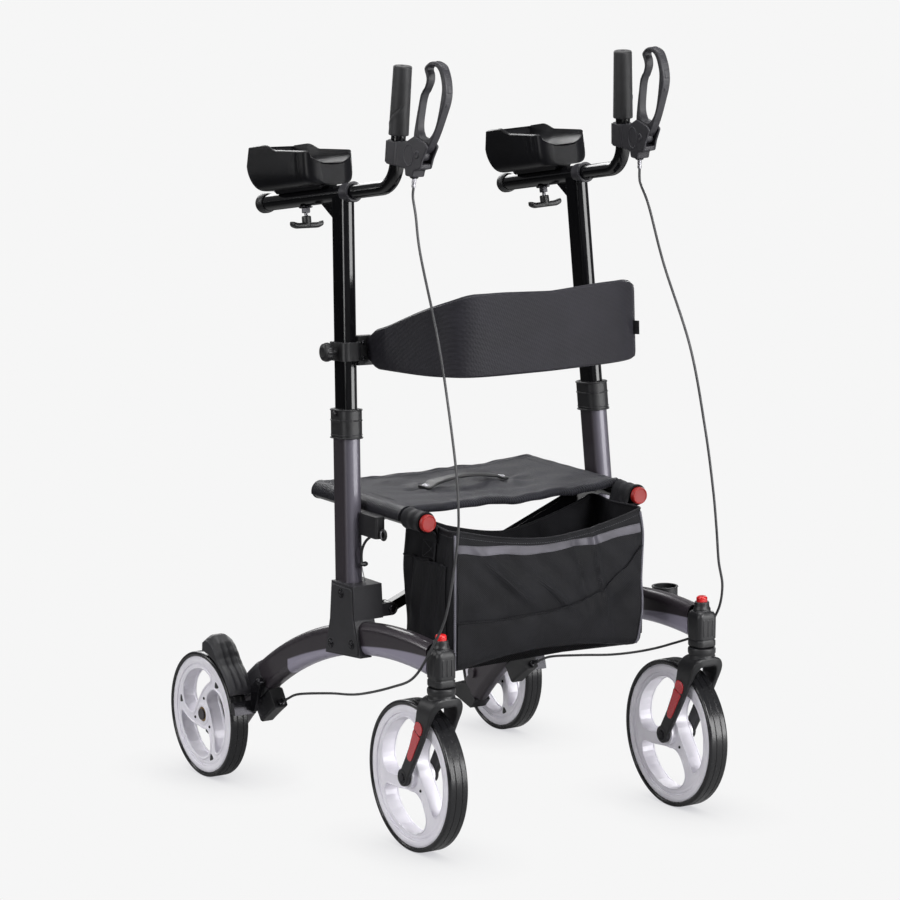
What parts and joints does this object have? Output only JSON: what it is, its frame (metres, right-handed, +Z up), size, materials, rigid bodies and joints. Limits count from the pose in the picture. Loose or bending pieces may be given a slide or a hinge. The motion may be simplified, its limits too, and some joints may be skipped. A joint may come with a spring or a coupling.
{
  "type": "upright walker",
  "caption": "Folding upright walker with arched side frames, telescopic posts, forearm troughs, vertical grips with loop brakes, sling seat, bag, backrest band, swivel front wheels.",
  "frame": {"origin": "on the floor, midway between the sides and midway between the front of the front wheels and the back of the rear wheels", "axes": "+Z up, -Y the way the walker rolls forward, -X the user's right"},
  "size_m": [0.59, 0.783, 1.1864],
  "materials": {
    "gunmetal_paint": "satin metallic",
    "black_paint": "gloss",
    "link_paint": "gloss",
    "black_plastic": "satin",
    "trim_plastic": "satin",
    "trough_foam": "soft moulded",
    "grip_rubber": "matte",
    "lever_plastic": "satin",
    "cable_jacket": "satin",
    "red_plastic": "gloss",
    "silver_rim": "satin silver paint",
    "tyre_rubber": "semi-gloss",
    "bright_steel": "bright",
    "seat_weave": "woven",
    "bag_weave": "woven",
    "band_fabric": "woven, padded"
  },
  "bodies": {
    "frame_right": {"arch_right": "gunmetal_paint", "post_bracket_right": "black_plastic", "lower_post_right": "gunmetal_paint", "height_collar_right": "black_plastic", "caster_housing_right": "black_plastic", "rear_fender_right": "black_plastic", "rear_brake_right": "black_plastic", "fold_lock": "trim_plastic", "brake_cable_right": "cable_jacket"},
    "frame_left": {"arch_left": "gunmetal_paint", "post_bracket_left": "black_plastic", "lower_post_left": "gunmetal_paint", "height_collar_left": "black_plastic", "caster_housing_left": "black_plastic", "rear_fender_left": "black_plastic", "rear_brake_left": "black_plastic", "cane_cup": "trim_plastic", "brake_cable_left": "cable_jacket"},
    "link_a": {"cross_link_a": "link_paint"},
    "link_b": {"cross_link_b": "link_paint"},
    "rail_right": {"seat_rail_right": "black_paint", "seat_cloth": "seat_weave", "seat_handle": "trim_plastic", "storage_bag": "bag_weave"},
    "rail_left": {"seat_rail_left": "black_paint"},
    "upper_right": {"upper_post_right": "black_paint", "arm_trough_right": "trough_foam", "backrest_clamp_right": "black_plastic", "backrest_band": "band_fabric"},
    "handle_right": {"handle_tube_right": "black_paint", "grip_right": "grip_rubber", "lever_housing_right": "lever_plastic"},
    "lever_right": {"brake_lever_right": "lever_plastic"},
    "clamp_knob_right": {"clamp_knob_right": "black_plastic"},
    "backrest_knob_right": {"backrest_knob_right": "black_plastic"},
    "height_button_right": {"height_button_right": "black_plastic"},
    "release_button_right": {"release_button_right": "red_plastic"},
    "caster_right": {"caster_fork_right": "black_plastic"},
    "front_wheel_right": {"front_rim_right": "silver_rim", "front_tyre_right": "tyre_rubber"},
    "rear_wheel_right": {"rear_rim_right": "silver_rim", "rear_tyre_right": "tyre_rubber"},
    "brake_arm_right": {"brake_arm_right": "bright_steel"},
    "upper_left": {"upper_post_left": "black_paint", "arm_trough_left": "trough_foam", "backrest_clamp_left": "black_plastic"},
    "handle_left": {"handle_tube_left": "black_paint", "grip_left": "grip_rubber", "lever_housing_left": "lever_plastic"},
    "lever_left": {"brake_lever_left": "lever_plastic"},
    "clamp_knob_left": {"clamp_knob_left": "black_plastic"},
    "backrest_knob_left": {"backrest_knob_left": "black_plastic"},
    "height_button_left": {"height_button_left": "black_plastic"},
    "release_button_left": {"release_button_left": "red_plastic"},
    "caster_left": {"caster_fork_left": "black_plastic"},
    "front_wheel_left": {"front_rim_left": "silver_rim", "front_tyre_left": "tyre_rubber"},
    "rear_wheel_left": {"rear_rim_left": "silver_rim", "rear_tyre_left": "tyre_rubber"},
    "brake_arm_left": {"brake_arm_left": "bright_steel"}
  },
  "joints": [
    {"name": "fold", "type": "hinge", "parent": "frame_right", "child": "link_a", "pos_m": [-0.188, -0.1133, 0.338], "axis": [0, -1, 0], "range_deg": [0, 37], "deforming": ["seat_cloth", "seat_handle", "storage_bag", "backrest_band"]},
    {"name": "fold_cross", "type": "hinge", "parent": "link_a", "child": "link_b", "pos_m": [0, -0.106, 0.4131], "axis": [0, -1, 0], "range_deg": [-74, 0]},
    {"name": "fold_left", "type": "hinge", "parent": "link_b", "child": "frame_left", "pos_m": [0.188, -0.0987, 0.338], "axis": [0, -1, 0], "range_deg": [0, 37]},
    {"name": "fold_rail_left", "type": "hinge", "parent": "link_a", "child": "rail_left", "pos_m": [0.1925, -0.1133, 0.49], "axis": [0, -1, 0], "range_deg": [-37, 0]},
    {"name": "fold_rail_right", "type": "hinge", "parent": "link_b", "child": "rail_right", "pos_m": [-0.1925, -0.0987, 0.49], "axis": [0, -1, 0], "range_deg": [0, 37]},
    {"name": "height_right", "type": "slide", "parent": "frame_right", "child": "upper_right", "axis": [0.0386, 0.072, 0.9967], "range_m": [-0.06, 0.09], "deforming": ["brake_cable_right"]},
    {"name": "handle_reach_right", "type": "slide", "parent": "upper_right", "child": "handle_right", "axis": [0.05, -0.9844, 0.1688], "range_m": [-0.02, 0.06], "deforming": ["brake_cable_right"]},
    {"name": "lever_right", "type": "hinge", "parent": "handle_right", "child": "lever_right", "pos_m": [-0.20025, -0.24452, 1.0469], "axis": [-0.9982, -0.0435, 0.0418], "range_deg": [0, 16], "stiffness_Nm_per_rad": 3, "springref_deg": -8.59},
    {"name": "brake_arm_right", "type": "hinge", "parent": "frame_right", "child": "brake_arm_right", "pos_m": [-0.2695, 0.15923, 0.17614], "axis": [1, 0, 0], "range_deg": [0, 3.2]},
    {"name": "clamp_knob_right", "type": "hinge", "parent": "upper_right", "child": "clamp_knob_right", "pos_m": [-0.21898, 0.06479, 0.92158], "axis": [-0.0338, -0.1706, -0.9848], "continuous": true},
    {"name": "backrest_knob_right", "type": "hinge", "parent": "upper_right", "child": "backrest_knob_right", "pos_m": [-0.24692, -0.05172, 0.73079], "axis": [0.9992, 0, -0.0387], "continuous": true},
    {"name": "height_button_right", "type": "slide", "parent": "frame_right", "child": "height_button_right", "axis": [0.9992, 0, -0.0387], "range_m": [0, 0.004], "stiffness_N_per_m": 800, "springref_m": -0.002},
    {"name": "release_button_right", "type": "slide", "parent": "frame_right", "child": "release_button_right", "axis": [0, 0, -1], "range_m": [0, 0.004], "stiffness_N_per_m": 800, "springref_m": -0.002},
    {"name": "swivel_right", "type": "hinge", "parent": "frame_right", "child": "caster_right", "pos_m": [-0.237, -0.343, 0.27], "axis": [0, 0, 1], "continuous": true},
    {"name": "front_wheel_right", "type": "hinge", "parent": "caster_right", "child": "front_wheel_right", "pos_m": [-0.237, -0.2755, 0.116], "axis": [1, 0, 0], "continuous": true},
    {"name": "rear_wheel_right", "type": "hinge", "parent": "frame_right", "child": "rear_wheel_right", "pos_m": [-0.2795, 0.29, 0.1015], "axis": [1, 0, 0], "continuous": true},
    {"name": "height_left", "type": "slide", "parent": "frame_left", "child": "upper_left", "axis": [-0.0386, 0.072, 0.9967], "range_m": [-0.06, 0.09], "deforming": ["brake_cable_left"]},
    {"name": "handle_reach_left", "type": "slide", "parent": "upper_left", "child": "handle_left", "axis": [-0.05, -0.9844, 0.1688], "range_m": [-0.02, 0.06], "deforming": ["brake_cable_left"]},
    {"name": "lever_left", "type": "hinge", "parent": "handle_left", "child": "lever_left", "pos_m": [0.20025, -0.24452, 1.0469], "axis": [-0.9982, 0.0435, -0.0418], "range_deg": [0, 16], "stiffness_Nm_per_rad": 3, "springref_deg": -8.59},
    {"name": "brake_arm_left", "type": "hinge", "parent": "frame_left", "child": "brake_arm_left", "pos_m": [0.2695, 0.15923, 0.17614], "axis": [1, 0, 0], "range_deg": [0, 3.2]},
    {"name": "clamp_knob_left", "type": "hinge", "parent": "upper_left", "child": "clamp_knob_left", "pos_m": [0.21898, 0.06479, 0.92158], "axis": [-0.0338, 0.1706, 0.9848], "continuous": true},
    {"name": "backrest_knob_left", "type": "hinge", "parent": "upper_left", "child": "backrest_knob_left", "pos_m": [0.24692, -0.05172, 0.73079], "axis": [0.9992, 0, 0.0387], "continuous": true},
    {"name": "height_button_left", "type": "slide", "parent": "frame_left", "child": "height_button_left", "axis": [-0.9992, 0, -0.0387], "range_m": [0, 0.004], "stiffness_N_per_m": 800, "springref_m": -0.002},
    {"name": "release_button_left", "type": "slide", "parent": "frame_left", "child": "release_button_left", "axis": [0, 0, -1], "range_m": [0, 0.004], "stiffness_N_per_m": 800, "springref_m": -0.002},
    {"name": "swivel_left", "type": "hinge", "parent": "frame_left", "child": "caster_left", "pos_m": [0.237, -0.343, 0.27], "axis": [0, 0, 1], "continuous": true},
    {"name": "front_wheel_left", "type": "hinge", "parent": "caster_left", "child": "front_wheel_left", "pos_m": [0.237, -0.2755, 0.116], "axis": [1, 0, 0], "continuous": true},
    {"name": "rear_wheel_left", "type": "hinge", "parent": "frame_left", "child": "rear_wheel_left", "pos_m": [0.2795, 0.29, 0.1015], "axis": [1, 0, 0], "continuous": true}
  ],
  "couplings": [
    {"joint": "fold_cross", "follows": "fold", "ratio": -2},
    {"joint": "fold_left", "follows": "fold", "ratio": 1},
    {"joint": "fold_rail_left", "follows": "fold", "ratio": -1},
    {"joint": "fold_rail_right", "follows": "fold", "ratio": 1},
    {"joint": "brake_arm_right", "follows": "lever_right", "ratio": 0.2},
    {"joint": "brake_arm_left", "follows": "lever_left", "ratio": 0.2},
    {"joint": "height_left", "follows": "height_right", "ratio": 1}
  ]
}
